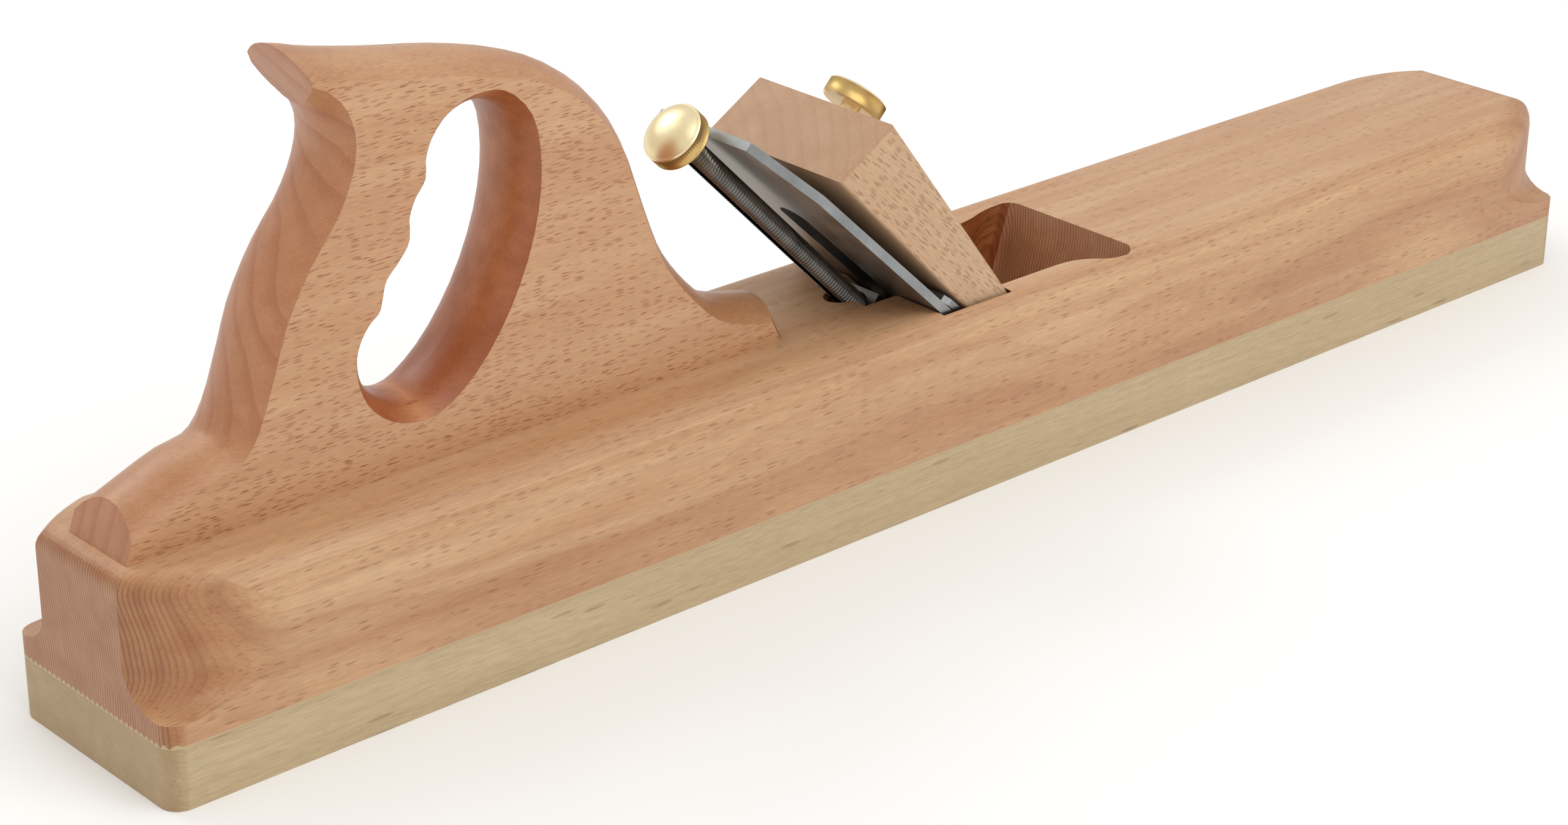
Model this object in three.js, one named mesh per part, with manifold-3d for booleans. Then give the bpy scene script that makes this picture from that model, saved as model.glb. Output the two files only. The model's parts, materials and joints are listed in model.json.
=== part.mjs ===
// A wooden jointer plane with a screw-adjusted cutting iron, built as separate pieces.
// Millimetres. X runs from the heel to the toe, Y across the plane and Z up.
// The origin is on the underside of the sole, halfway along it.

import * as THREE from 'three';
import { mergeVertices } from 'three/addons/utils/BufferGeometryUtils.js';
import Module from 'manifold-3d';

const wasm = await Module();
wasm.setup();

// ---- Driving dimensions ------------------------------------------------------------------

const GAP = 0.3;                  // room left between pieces that touch

// Stock
const LENGTH = 600;
const WIDTH = 76;
const SOLE_TOP = 18.5;
const BODY_TOP = 62;
const EDGE_RADIUS = 10;           // the long top edges
const HEEL_RADIUS = 5.5;          // the top edge at the heel
const TOE_RADIUS = 13;            // the top edge at the toe
const CORNER_RADIUS = 6;          // the four upright corners

// Scooped corners: a round wall standing on a cove and a small ledge
const SCOOP_RADIUS = 58;
const NEAR_HEEL_SCOOP = 50;       // one corner is cut a little deeper
const SCOOP_START = 40;           // from each end
const COVE_RADIUS = 10;
const LEDGE = 25.5;               // height of the ledge

// Bed and throat
const BED_ANGLE = THREE.MathUtils.degToRad(43);
const BED_FOOT = 54.3;            // where the iron's back would meet the underside
const THROAT_HALF = 31.5;         // half width where the iron lies
const CHIP_NEAR = { narrow: -26.2, wide: -32.8 };   // side walls in front of the clamp block,
const CHIP_FAR = { narrow: 20, wide: 24.4 };        // and where they have flared out at the front
const MOUTH_FRONT = 60;
const THROAT_FRONT = 74.3;         // front wall at the top of the body
const ABUTMENT_FOOT = 24;         // below this the throat has its full width
const THROAT_LEAN = (THROAT_FRONT - MOUTH_FRONT) / (BODY_TOP - SOLE_TOP);
const FLARE = { start: -31.3, middle: -18.3, corner: 4.5 };   // from the front wall, and its corners

// Cutting iron and cap iron
const IRON_HALF = 30;
const IRON_THICK = 3;
const IRON_LENGTH = 188.7;        // along the bed from the underside
const IRON_CLIP_START = 161.6;    // where the top corners begin to narrow
const IRON_TOP_HALF = 20;
const IRON_BEVEL = THREE.MathUtils.degToRad(25);
const IRON_RISE = 0.3;            // the edge rests this far above the underside
const SLOT_HALF = 5.5;
const SLOT_END = 142;
const KEYHOLE_A = 56;
const KEYHOLE_RADIUS = 7.3;
const CAP_LOW = IRON_THICK + GAP;
const CAP_THICK = 2.2;
const CAP_SHOULDER = 91.3;
const CAP_LENGTH = 150;
const CAP_TAIL_HALF = 11;
const CAP_SCREW_A = 73;
const CAP_SCREW_SHANK = 3;
const CAP_SCREW_HEAD = 6;
const CAP_HUMP = { lip: 1.5, end: 18, under: 2.4, over: 2.7 };   // the sprung front of the cap iron

// Clamp block and its thumb screw
const BLOCK_HALF = 30;
const BLOCK_ROUND = 1;
const BLOCK_TOE = 20;
const BLOCK_LOW = CAP_LOW + CAP_THICK + 0.4;
const BLOCK_BEND = 59;            // where the back leaves the cap iron's line
const BLOCK_BACK_TOP = [158.7, 9.25];
const BLOCK_FRONT_TOP = [151.7, 33.4];
const BLOCK_FRONT_LOW = 11.6;      // the front face's height over the bed at the toe
const CLAMP_A = 141;
const CLAMP_HEAD_LOW = 37;
const CLAMP_HEAD_RADIUS = 9.8;
const CLAMP_SHAFT_RADIUS = 3;
const BUSH_RADIUS = 5;
const BUSH_LOW = 18.6;
const BUSH_TOP = 30.6;
const HEXAGON = { radius: 4.6, height: 3 };
const CLAMP_HEAD_THICK = 5.8;
const CLAMP_HEAD_DOME = 1.4;
const CLAMP_TIP = { radius: 2, low: 7.6, high: 9.2 };        // the pin that the pressure foot sits on
const FOOT = { radius: 5, low: 5.9, high: 8.9, socket: 7.3 };

// Depth screw and the pieces that carry it
const NUT_A = 90;                 // the swivel's place along the bed
const SPINDLE_W = -8.63;          // the screw's height there
const SPINDLE_LEAN = 0.0299;      // rise of the screw over the bed, in radians
const THREAD_RADIUS = 4;
const JOURNAL_RADIUS = 2.5;
const SPINDLE_END = 107;          // beyond the swivel
const SPINDLE_SHOULDER = -7.6;
const SPINDLE_TAIL = -27.2;
const FLAT_HEIGHT = 3;            // the flat's distance from the axis
const KNOB_LOW = 103.8;
const KNOB_RIM = 5.5;
const KNOB_RADIUS = 9.9;
const KNOB_DOME = 3.3;
const POCKET = { low: 59.5, high: 101, half: 11, floor: -17.2 };
const PLATE = { low: 76, high: 100.7, half: 10.7, floor: -16.9, top: -14.2 };
const PLATE_SCREWS = { swivel_plate_screw_low: 80.8, swivel_plate_screw_high: 97 };
const PLATE_SCREW_TIP = -24.2;
const PLATE_SCREW_SHANK = 1.5;
const PLATE_SCREW_HEAD = 2.5;
const SWIVEL_PIN = 3.5;
const SWIVEL_BLOCK = [[86, -7, -13.2], [94, 7, -2.6]];         // its two corners, as all of these
const DRIVE_BLOCK = [[65, -9, -13.4], [81, 9, -0.6]];
const CLIP_GROOVE = { low: -26.3, high: -25.1, radius: 2 };
const CLIP = { inner: 2.3, outer: 4.5, low: -26, high: -25.4, opening: THREE.MathUtils.degToRad(35) };
const WASHER = { radius: 5, thick: 0.8 };

// Handle
const HANDLE_HALF = 14;
const HANDLE_CROWN = 5.4;         // how far the edges swell between the two arrises
const HANDLE_REAR = -294;         // at the body's top; the face there leans forward
const HORN_TIP = [-228.8, 180];
const END_LEAN = 20;              // degrees, of the faces at the heel and on the horn
const DOWEL_RADIUS = 5;
const DOWELS = { handle_dowel_front: -100, handle_dowel_rear: -262 };
const DOWEL_LOW = 40;
const DOWEL_TOP = 71;

// Smoothness of round work
const ROUND = 28;
const ROUND_FINE = 40;

// ---- Materials ---------------------------------------------------------------------------

const finish = (color, roughness, metalness) => ({ color, roughness, metalness });
const BEECH = finish(0xb87b52, 0.45, 0);
const HORNBEAM = finish(0xd9bd94, 0.5, 0);
const BEECH_PALE = finish(0xc48f66, 0.5, 0);
const GROUND_STEEL = finish(0x6a6763, 0.35, 1);
const BRIGHT_STEEL = finish(0x9a9894, 0.3, 1);
const BRASS = finish(0xb99a5b, 0.3, 1);

// ---- Helpers -----------------------------------------------------------------------------

function outline(points) {
  return new THREE.Shape(points.map(([x, y]) => new THREE.Vector2(x, y)));
}

// A plan (x, y) given thickness from one height to another.
function upright(shape, low, high) {
  const geometry = new THREE.ExtrudeGeometry(shape, { depth: high - low, bevelEnabled: false, curveSegments: 8 });
  return geometry.translate(0, 0, low);
}

// A side view (x, z) run across the plane, equally far to both sides.
function across(shape, half) {
  return upright(shape, -half, half).rotateX(Math.PI / 2);
}

// A cross-section (y, z) run along the plane.
function lengthways(shape, low, high) {
  const axes = new THREE.Matrix4().makeBasis(
    new THREE.Vector3(0, 1, 0),
    new THREE.Vector3(0, 0, 1),
    new THREE.Vector3(1, 0, 0),
  );
  return upright(shape, low, high).applyMatrix4(axes);
}

// A block between two opposite corners.
function block(low, high) {
  const size = high.map((value, i) => value - low[i]);
  const middle = high.map((value, i) => (value + low[i]) / 2);
  return new THREE.BoxGeometry(...size).translate(...middle);
}

// A profile of (radius, height) points turned about the Z axis.
function turned(profile, segments = ROUND) {
  const points = profile.map(([radius, height]) => new THREE.Vector2(radius, height));
  return new THREE.LatheGeometry(points, segments).rotateX(Math.PI / 2);
}

function rod(radius, low, high, segments = ROUND) {
  return turned([[0, low], [radius, low], [radius, high], [0, high]], segments);
}

function tube(inner, outer, low, high) {
  return turned([[inner, low], [outer, low], [outer, high], [inner, high], [inner, low]]);
}

// Points of a quarter arc, as [x, y] pairs.
function arc(x, y, radius, from, to, steps) {
  const angles = Array.from({ length: steps + 1 }, (_, i) => from + (to - from) * i / steps);
  return angles.map((angle) => [x + radius * Math.cos(angle), y + radius * Math.sin(angle)]);
}

function toSolid(geometry) {
  const bare = geometry.clone();
  bare.deleteAttribute('normal');
  bare.deleteAttribute('uv');
  const merged = mergeVertices(bare, 1e-4);
  return new wasm.Manifold(new wasm.Mesh({
    numProp: 3,
    vertProperties: merged.attributes.position.array,
    triVerts: new Uint32Array(merged.index.array),
  }));
}

function toGeometry(solid) {
  const { vertProperties, triVerts } = solid.getMesh();
  const geometry = new THREE.BufferGeometry();
  geometry.setAttribute('position', new THREE.BufferAttribute(vertProperties, 3));
  geometry.setIndex(new THREE.BufferAttribute(triVerts, 1));
  geometry.computeVertexNormals();
  return geometry;
}

// One shape with others joined to it and cut away from it.
function carve(base, { join = [], cut = [] }) {
  const joined = join.reduce((solid, geometry) => solid.add(toSolid(geometry)), toSolid(base));
  return toGeometry(cut.reduce((solid, geometry) => solid.subtract(toSolid(geometry)), joined));
}

function overlapOf(...geometries) {
  return toGeometry(geometries.map(toSolid).reduce((solid, next) => solid.intersect(next)));
}

function piece(name, geometry, look) {
  const mesh = new THREE.Mesh(geometry, new THREE.MeshStandardMaterial(look));
  mesh.name = name;
  return mesh;
}

// ---- Frames ------------------------------------------------------------------------------

// In the bed's frame X climbs the bed from the underside (written a in the names above),
// Y crosses it and Z stands off the iron's back (written w).
const plane = new THREE.Group();
const bed = new THREE.Group();
bed.position.set(BED_FOOT, 0, 0);
bed.rotation.set(0, BED_ANGLE, Math.PI);
plane.add(bed);

// In the screw's frame Z runs along the screw from the swivel towards the knob,
// and X points away from the iron.
const screw = new THREE.Group();
screw.position.set(NUT_A, 0, SPINDLE_W);
screw.rotation.y = Math.PI / 2 - SPINDLE_LEAN;
bed.add(screw);
plane.updateMatrixWorld(true);

const fromBed = (geometry) => geometry.applyMatrix4(bed.matrixWorld);
const fromScrew = (geometry) => geometry.applyMatrix4(screw.matrixWorld);
const screwInBed = (geometry) => geometry.applyMatrix4(screw.matrix);

function bedPoint(a, w) {
  const point = new THREE.Vector3(a, 0, w).applyMatrix4(bed.matrixWorld);
  return [point.x, point.z];
}

// ---- Stock: sole and body ----------------------------------------------------------------

function planOutline() {
  const x = LENGTH / 2 - CORNER_RADIUS;
  const y = WIDTH / 2 - CORNER_RADIUS;
  const shape = new THREE.Shape();
  shape.absarc(x, y, CORNER_RADIUS, 0, Math.PI / 2);
  shape.absarc(-x, y, CORNER_RADIUS, Math.PI / 2, Math.PI);
  shape.absarc(-x, -y, CORNER_RADIUS, Math.PI, Math.PI * 1.5);
  shape.absarc(x, -y, CORNER_RADIUS, Math.PI * 1.5, Math.PI * 2);
  return shape;
}

// A blank seen square on, with its two top corners rounded.
function blankOutline(half, leftRadius, rightRadius) {
  const shape = new THREE.Shape();
  shape.moveTo(-half, SOLE_TOP);
  shape.lineTo(half, SOLE_TOP);
  shape.absarc(half - rightRadius, BODY_TOP - rightRadius, rightRadius, 0, Math.PI / 2);
  shape.absarc(-half + leftRadius, BODY_TOP - leftRadius, leftRadius, Math.PI / 2, Math.PI);
  return shape;
}

// The cutter for one scooped corner; alongside is +1 at the toe, sideways +1 on the far side.
function scoop(alongside, sideways) {
  const radius = alongside < 0 && sideways < 0 ? NEAR_HEEL_SCOOP : SCOOP_RADIUS;
  const rounding = alongside < 0 ? HEEL_RADIUS : EDGE_RADIUS;
  const reach = radius * 2;
  const above = BODY_TOP + rounding;
  const crest = radius - rounding;
  const ring = turned([
    [crest, above],
    ...arc(crest, BODY_TOP - rounding, rounding, Math.PI / 2, 0, 6),
    ...arc(radius + COVE_RADIUS, LEDGE + COVE_RADIUS, COVE_RADIUS, Math.PI, Math.PI * 1.5, 6),
    [reach, LEDGE],
    [reach, above],
    [crest, above],
  ], 80);
  const centre = LENGTH / 2 - SCOOP_START;
  ring.translate(alongside * centre, sideways * (WIDTH / 2 - radius), 0);
  const corner = block([0, 0, LEDGE - 1], [reach, reach, above + 1]);
  corner.translate(alongside > 0 ? centre : -centre - reach, sideways > 0 ? 0 : -reach, 0);
  return overlapOf(ring, corner);
}

// Below the abutments the throat is as wide as the iron's bed and ends at the mouth.
function mouthCutter() {
  const side = outline([
    bedPoint(-6, -GAP),
    [MOUTH_FRONT, -5],
    [MOUTH_FRONT, SOLE_TOP],
    [MOUTH_FRONT + THROAT_LEAN * (ABUTMENT_FOOT - SOLE_TOP), ABUTMENT_FOOT],
    bedPoint(ABUTMENT_FOOT / Math.sin(BED_ANGLE), -GAP),
  ]);
  return across(side, THROAT_HALF);
}

// The wedge-shaped room for the iron and the clamp block.
function wedgeCutter() {
  const beyond = 130;
  const slope = (BLOCK_FRONT_TOP[1] - BLOCK_FRONT_LOW) / (BLOCK_FRONT_TOP[0] - BLOCK_TOE);
  const front = (a) => BLOCK_FRONT_LOW + slope * (a - BLOCK_TOE) + GAP + 0.1;
  const side = outline([[-8, -GAP], [beyond, -GAP], [beyond, front(beyond)], [BLOCK_TOE, front(BLOCK_TOE)]]);
  return fromBed(across(side, THROAT_HALF));
}

// The narrower, flared opening in front of the block that the shavings leave by.
function chipCutter() {
  const { corner } = FLARE;
  const turn = THROAT_FRONT - corner;
  const flare = THROAT_FRONT + FLARE.start;
  const half = THROAT_FRONT + FLARE.middle;
  const back = -40;
  const shape = new THREE.Shape();
  shape.moveTo(back, CHIP_FAR.narrow);
  shape.lineTo(back, CHIP_NEAR.narrow);
  shape.lineTo(flare, CHIP_NEAR.narrow);
  shape.bezierCurveTo(half, CHIP_NEAR.narrow, half, CHIP_NEAR.wide, turn, CHIP_NEAR.wide);
  shape.absarc(turn, CHIP_NEAR.wide + corner, corner, -Math.PI / 2, 0);
  shape.absarc(turn, CHIP_FAR.wide - corner, corner, 0, Math.PI / 2);
  shape.bezierCurveTo(half, CHIP_FAR.wide, half, CHIP_FAR.narrow, flare, CHIP_FAR.narrow);
  const leaning = new THREE.Matrix4().makeShear(0, 0, 0, 0, THROAT_LEAN, 0).setPosition(-BODY_TOP * THROAT_LEAN, 0, 0);
  const well = upright(shape, SOLE_TOP - 1, BODY_TOP + 10).applyMatrix4(leaning);
  const overBed = fromBed(across(outline([[-20, 8], [140, 8], [140, 120], [-20, 120]]), WIDTH));
  return overlapOf(well, overBed);
}

// The pocket in the bed for the adjuster, and the round channel that lets the screw out.
function adjusterCutters() {
  const pocket = block([POCKET.low, -POCKET.half, POCKET.floor], [POCKET.high, POCKET.half, 1]);
  const channel = rod(THREAD_RADIUS + 1.5, 8, 30);
  const bores = Object.values(PLATE_SCREWS).map((a) => {
    return fromBed(rod(PLATE_SCREW_SHANK + GAP, PLATE_SCREW_TIP - GAP, POCKET.floor + 1, 16).translate(a, 0, 0));
  });
  return [fromBed(pocket), fromScrew(channel), ...bores];
}

function dowelBores() {
  return Object.values(DOWELS).map((x) => {
    return rod(DOWEL_RADIUS + GAP, DOWEL_LOW - GAP, DOWEL_TOP + GAP, 24).translate(x, 0, 0);
  });
}

function makeSole() {
  const plate = upright(planOutline(), 0, SOLE_TOP);
  return piece('sole', carve(plate, { cut: [wedgeCutter(), mouthCutter()] }), HORNBEAM);
}

function makeBody() {
  const blank = overlapOf(
    lengthways(blankOutline(WIDTH / 2, EDGE_RADIUS, EDGE_RADIUS), -LENGTH, LENGTH),
    across(blankOutline(LENGTH / 2, HEEL_RADIUS, TOE_RADIUS), WIDTH),
    upright(planOutline(), 0, BODY_TOP * 2),
  );
  const scoops = [scoop(1, 1), scoop(1, -1), scoop(-1, 1), scoop(-1, -1)];
  const throat = [wedgeCutter(), mouthCutter(), chipCutter()];
  const cut = [...scoops, ...throat, ...adjusterCutters(), ...dowelBores()];
  return piece('body', carve(blank, { cut }), BEECH);
}

// ---- Handle ------------------------------------------------------------------------------

// The arris on each side: up the back to the horn, over the top and down the front.
function handleOutline() {
  const back = [
    [-305, 60], [-294, 67], [-281, 72.5], [-268, 77.5], [-257, 80], [-250.5, 88], [-245, 102],
    [-240, 115.5], [-232, 129], [-222.5, 141], [-217, 152], [-215.5, 162], [-218.5, 171], [-224, 176.5],
  ];
  const front = [
    [-230.5, 182], [-220, 178.7], [-200, 174.5], [-180, 171], [-160, 165.8], [-145, 159], [-133, 149],
    [-124.5, 136], [-117.5, 117], [-110.5, 100], [-101, 87], [-90, 76.2], [-79, 71.3], [-67.3, 68.6],
  ];
  const through = (points) => new THREE.SplineCurve(points.map(([x, z]) => new THREE.Vector2(x, z)));
  return new THREE.Shape([
    new THREE.Vector2(-305, 50),
    ...through(back).getPoints(34),
    new THREE.Vector2(-230.5, 179.5),
    ...through(front).getPoints(34),
    new THREE.Vector2(-63.7, 61),
    new THREE.Vector2(-63.7, 50),
  ]);
}

// The hole for the fingers, with the shallow waves between them on its back.
function fingerHole() {
  const points = [
    [-176.4, 165], [-185, 162], [-191, 156], [-193.3, 150], [-193.6, 145], [-197.2, 140.3], [-199.4, 135],
    [-199.8, 128.5], [-203.4, 123.8], [-207.8, 119.3], [-209.2, 114.7], [-210.4, 111], [-213.8, 108.3],
    [-216.9, 104.2], [-218.7, 98.5], [-218.2, 91.5], [-214.5, 83.5], [-205.5, 76.8], [-193, 75.5],
    [-180, 83], [-167, 98.5], [-157.5, 118.5], [-154, 138], [-156.5, 154.5], [-166, 164],
  ];
  const loop = new THREE.CatmullRomCurve3(points.map(([x, z]) => new THREE.Vector3(x, z, 0)), true);
  return new THREE.Path(loop.getPoints(76).slice(0, -1).map(({ x, y }) => new THREE.Vector2(x, y)));
}

// Swells the edges to a round crown that breaks at the arrises, by moving the bevel's rings.
function crown(geometry, land, bevel) {
  const radius = (HANDLE_HALF ** 2 + HANDLE_CROWN ** 2) / (2 * HANDLE_CROWN);
  const { position } = geometry.attributes;
  for (let i = 0; i < position.count; i += 1) {
    const depth = Math.max(Math.abs(position.getZ(i)) - land, 0) / bevel;
    const swell = HANDLE_CROWN * Math.sqrt(Math.max(1 - depth ** 2, 0));
    const half = Math.sqrt(Math.max(radius ** 2 - (radius - HANDLE_CROWN + swell) ** 2, land ** 2));
    position.setZ(i, Math.sign(position.getZ(i)) * half);
  }
  return geometry;
}

function makeHandle() {
  const shape = handleOutline();
  shape.holes.push(fingerHole());
  const land = 0.5;
  const bevel = HANDLE_HALF - land;
  const blank = new THREE.ExtrudeGeometry(shape, {
    depth: land * 2,
    bevelThickness: bevel,
    bevelSize: HANDLE_CROWN,
    bevelSegments: 4,
  });
  crown(blank.translate(0, 0, -land), land, bevel).rotateX(Math.PI / 2);
  const lean = THREE.MathUtils.degToRad(END_LEAN);
  const below = block([-400, -50, 0], [0, 50, BODY_TOP]);
  const behind = block([-60, -50, -20], [0, 50, 60]).rotateY(lean).translate(HANDLE_REAR, 0, BODY_TOP);
  const hornTip = block([-40, -50, -20], [0, 50, 20]).rotateY(-lean).translate(HORN_TIP[0], 0, HORN_TIP[1]);
  return piece('handle', carve(blank, { cut: [below, behind, hornTip, ...dowelBores()] }), BEECH);
}

function makeDowel([name, x]) {
  return piece(name, rod(DOWEL_RADIUS, DOWEL_LOW, DOWEL_TOP, 24).translate(x, 0, 0), BEECH_PALE);
}

// ---- Irons -------------------------------------------------------------------------------

function makeCuttingIron() {
  const edge = (IRON_RISE - IRON_THICK * Math.cos(BED_ANGLE)) / Math.sin(BED_ANGLE);
  const shape = outline([
    [edge, -IRON_HALF], [IRON_CLIP_START, -IRON_HALF], [IRON_LENGTH, -IRON_TOP_HALF],
    [IRON_LENGTH, IRON_TOP_HALF], [IRON_CLIP_START, IRON_HALF], [edge, IRON_HALF],
  ]);
  const meeting = Math.asin(SLOT_HALF / KEYHOLE_RADIUS);
  const slot = new THREE.Path();
  slot.absarc(KEYHOLE_A, 0, KEYHOLE_RADIUS, meeting, Math.PI * 2 - meeting);
  slot.absarc(SLOT_END - SLOT_HALF, 0, SLOT_HALF, -Math.PI / 2, Math.PI / 2);
  shape.holes.push(slot);
  const run = [Math.cos(IRON_BEVEL) * 12, Math.sin(IRON_BEVEL) * 12];
  const ground = outline([
    [edge - run[0], IRON_THICK + run[1]], [edge + run[0], IRON_THICK - run[1]], [edge - run[0], IRON_THICK - run[1]],
  ]);
  const blade = carve(upright(shape, 0, IRON_THICK), { cut: [across(ground, WIDTH)] });
  return piece('cutting_iron', blade, GROUND_STEEL);
}

function makeCapIron() {
  const { lip, end: hump } = CAP_HUMP;
  const top = CAP_LOW + CAP_THICK;
  const side = new THREE.Shape();
  side.moveTo(lip, CAP_LOW);
  side.quadraticCurveTo(hump / 2, CAP_LOW + CAP_HUMP.under, hump, CAP_LOW);
  side.lineTo(CAP_LENGTH + 5, CAP_LOW);
  side.lineTo(CAP_LENGTH + 5, top);
  side.lineTo(hump, top);
  side.quadraticCurveTo(hump / 2, top + CAP_HUMP.over, lip, CAP_LOW + GAP);
  const plan = outline([
    [0, -IRON_HALF], [CAP_SHOULDER - 2, -IRON_HALF], [CAP_SHOULDER, -IRON_HALF + 2],
    [CAP_SHOULDER, -CAP_TAIL_HALF], [CAP_LENGTH - 3, -CAP_TAIL_HALF], [CAP_LENGTH, 3 - CAP_TAIL_HALF],
    [CAP_LENGTH, CAP_TAIL_HALF - 3], [CAP_LENGTH - 3, CAP_TAIL_HALF], [CAP_SHOULDER, CAP_TAIL_HALF],
    [CAP_SHOULDER, IRON_HALF - 2], [CAP_SHOULDER - 2, IRON_HALF], [0, IRON_HALF],
  ]);
  const sheet = overlapOf(across(side, WIDTH), upright(plan, 0, 20));
  const bore = rod(CAP_SCREW_SHANK + GAP, 0, 20).translate(CAP_SCREW_A, 0, 0);
  return piece('cap_iron', carve(sheet, { cut: [bore] }), GROUND_STEEL);
}

// A round boss that keeps the cap iron square in the iron's slot.
function makeCapIronBoss() {
  const ring = tube(CAP_SCREW_SHANK + GAP, SLOT_HALF - GAP, 0.4, IRON_THICK);
  return piece('cap_iron_boss', ring.translate(CAP_SCREW_A, 0, 0), BRASS);
}

function makeCapIronScrew() {
  const [head, shank, under, end] = [CAP_SCREW_HEAD, CAP_SCREW_SHANK, -3.3, 5];
  const profile = [
    [0, under], [head - 0.4, under], [head, under + 0.4], [head, -GAP], [shank, -GAP], [shank, end], [0, end],
  ];
  return piece('cap_iron_screw', turned(profile).translate(CAP_SCREW_A, 0, 0), BRIGHT_STEEL);
}

// ---- Clamp block -------------------------------------------------------------------------

function makeClampBlock() {
  const shape = new THREE.Shape();
  shape.moveTo(BLOCK_TOE, BLOCK_LOW);
  shape.lineTo(BLOCK_BEND, BLOCK_LOW);
  shape.lineTo(...BLOCK_BACK_TOP);
  shape.lineTo(...BLOCK_FRONT_TOP);
  shape.lineTo(BLOCK_TOE, BLOCK_FRONT_LOW);
  shape.quadraticCurveTo(BLOCK_TOE - 3.5, (BLOCK_LOW + BLOCK_FRONT_LOW) / 2, BLOCK_TOE, BLOCK_LOW);
  const blank = new THREE.ExtrudeGeometry(shape, {
    depth: 2 * (BLOCK_HALF - BLOCK_ROUND),
    bevelThickness: BLOCK_ROUND,
    bevelSize: BLOCK_ROUND,
    bevelOffset: -BLOCK_ROUND,
    bevelSegments: 4,
    curveSegments: 6,
  });
  blank.translate(0, 0, BLOCK_ROUND - BLOCK_HALF).rotateX(Math.PI / 2);
  const cut = [
    rod(CLAMP_SHAFT_RADIUS + GAP, 0, 45),
    rod(BUSH_RADIUS + GAP, BUSH_LOW - GAP, 45),
    rod(FOOT.radius + 0.8, 0, FOOT.high + 4.3),
  ].map((cutter) => cutter.translate(CLAMP_A, 0, 0));
  return piece('clamp_block', carve(blank, { cut }), BEECH_PALE);
}

// A brass sleeve let into the block, with a hexagon standing on its front face.
function makeThreadedBush() {
  const bore = rod(CLAMP_SHAFT_RADIUS + GAP, 0, 40);
  const hexagon = rod(HEXAGON.radius, BUSH_TOP - 0.5, BUSH_TOP + HEXAGON.height, 6);
  const sleeve = carve(rod(BUSH_RADIUS, BUSH_LOW, BUSH_TOP), { join: [hexagon], cut: [bore] });
  return piece('threaded_bush', sleeve.translate(CLAMP_A, 0, 0), BRASS);
}

function makeClampKnob() {
  const low = CLAMP_HEAD_LOW;
  const top = low + CLAMP_HEAD_THICK;
  const radius = CLAMP_HEAD_RADIUS;
  const shaft = CLAMP_SHAFT_RADIUS;
  const tip = CLAMP_TIP;
  const chamfer = 0.6;
  const profile = [
    [0, tip.low], [tip.radius, tip.low], [tip.radius, tip.high], [shaft, tip.high], [shaft, low],
    [radius - chamfer, low], [radius, low + chamfer], [radius, top - chamfer], [radius - chamfer, top],
    [radius * 0.61, top + CLAMP_HEAD_DOME * 0.64], [0, top + CLAMP_HEAD_DOME],
  ];
  return piece('clamp_knob', turned(profile, ROUND_FINE).translate(CLAMP_A, 0, 0), BRASS);
}

function makePressureFoot() {
  const { radius, low, high, socket } = FOOT;
  const bore = CLAMP_TIP.radius + 0.4;
  const chamfer = 0.4;
  const profile = [
    [0, low], [radius - chamfer, low], [radius, low + chamfer], [radius, high - chamfer],
    [radius - chamfer, high], [bore, high], [bore, socket], [0, socket],
  ];
  return piece('pressure_foot', turned(profile).translate(CLAMP_A, 0, 0), BRIGHT_STEEL);
}

// ---- Depth screw, swivel and drive block --------------------------------------------------

function makeSpindle() {
  const groove = CLIP_GROOVE;
  const profile = [
    [0, SPINDLE_TAIL], [JOURNAL_RADIUS, SPINDLE_TAIL], [JOURNAL_RADIUS, groove.low], [groove.radius, groove.low],
    [groove.radius, groove.high], [JOURNAL_RADIUS, groove.high], [JOURNAL_RADIUS, SPINDLE_SHOULDER],
    [THREAD_RADIUS, SPINDLE_SHOULDER], [THREAD_RADIUS, SPINDLE_END], [0, SPINDLE_END],
  ];
  const flat = block([FLAT_HEIGHT, -5, 6], [6, 5, KNOB_LOW - 1]);
  return piece('spindle', carve(turned(profile), { cut: [flat] }), BRIGHT_STEEL);
}

function makeDepthKnob() {
  const rim = KNOB_LOW + KNOB_RIM;
  const bore = THREAD_RADIUS + GAP;
  const ball = (KNOB_RADIUS ** 2 + KNOB_DOME ** 2) / (2 * KNOB_DOME);
  const edge = Math.acos(KNOB_RADIUS / ball);
  const dome = arc(0, rim + KNOB_DOME - ball, ball, edge, Math.PI / 2, 6);
  const profile = [
    [0, SPINDLE_END + GAP], [bore, SPINDLE_END + GAP], [bore, KNOB_LOW], [KNOB_RADIUS - 0.4, KNOB_LOW],
    [KNOB_RADIUS, KNOB_LOW + 0.4], ...dome.slice(0, -1), [0, rim + KNOB_DOME],
  ];
  return piece('depth_knob', turned(profile, ROUND_FINE), BRASS);
}

function makeSpindleClip() {
  const { inner, outer, low, high, opening } = CLIP;
  const shape = new THREE.Shape();
  shape.absarc(0, 0, outer, opening, Math.PI * 2 - opening);
  shape.absarc(0, 0, inner, Math.PI * 2 - opening, opening, true);
  return piece('spindle_clip', upright(shape, low, high), BRIGHT_STEEL);
}

function makeThrustWasher() {
  const high = SPINDLE_SHOULDER - GAP;
  return piece('thrust_washer', tube(JOURNAL_RADIUS + GAP, WASHER.radius, high - WASHER.thick, high), BRASS);
}

// The block whose cup takes the cap iron's screw head, so that the screw drives the iron.
function makeDriveBlock() {
  const cup = rod(CAP_SCREW_HEAD + GAP, -4, 1).translate(CAP_SCREW_A, 0, 0);
  const bore = screwInBed(rod(JOURNAL_RADIUS + GAP, -35, 0));
  return piece('drive_block', carve(block(...DRIVE_BLOCK), { cut: [cup, bore] }), BRIGHT_STEEL);
}

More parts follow.
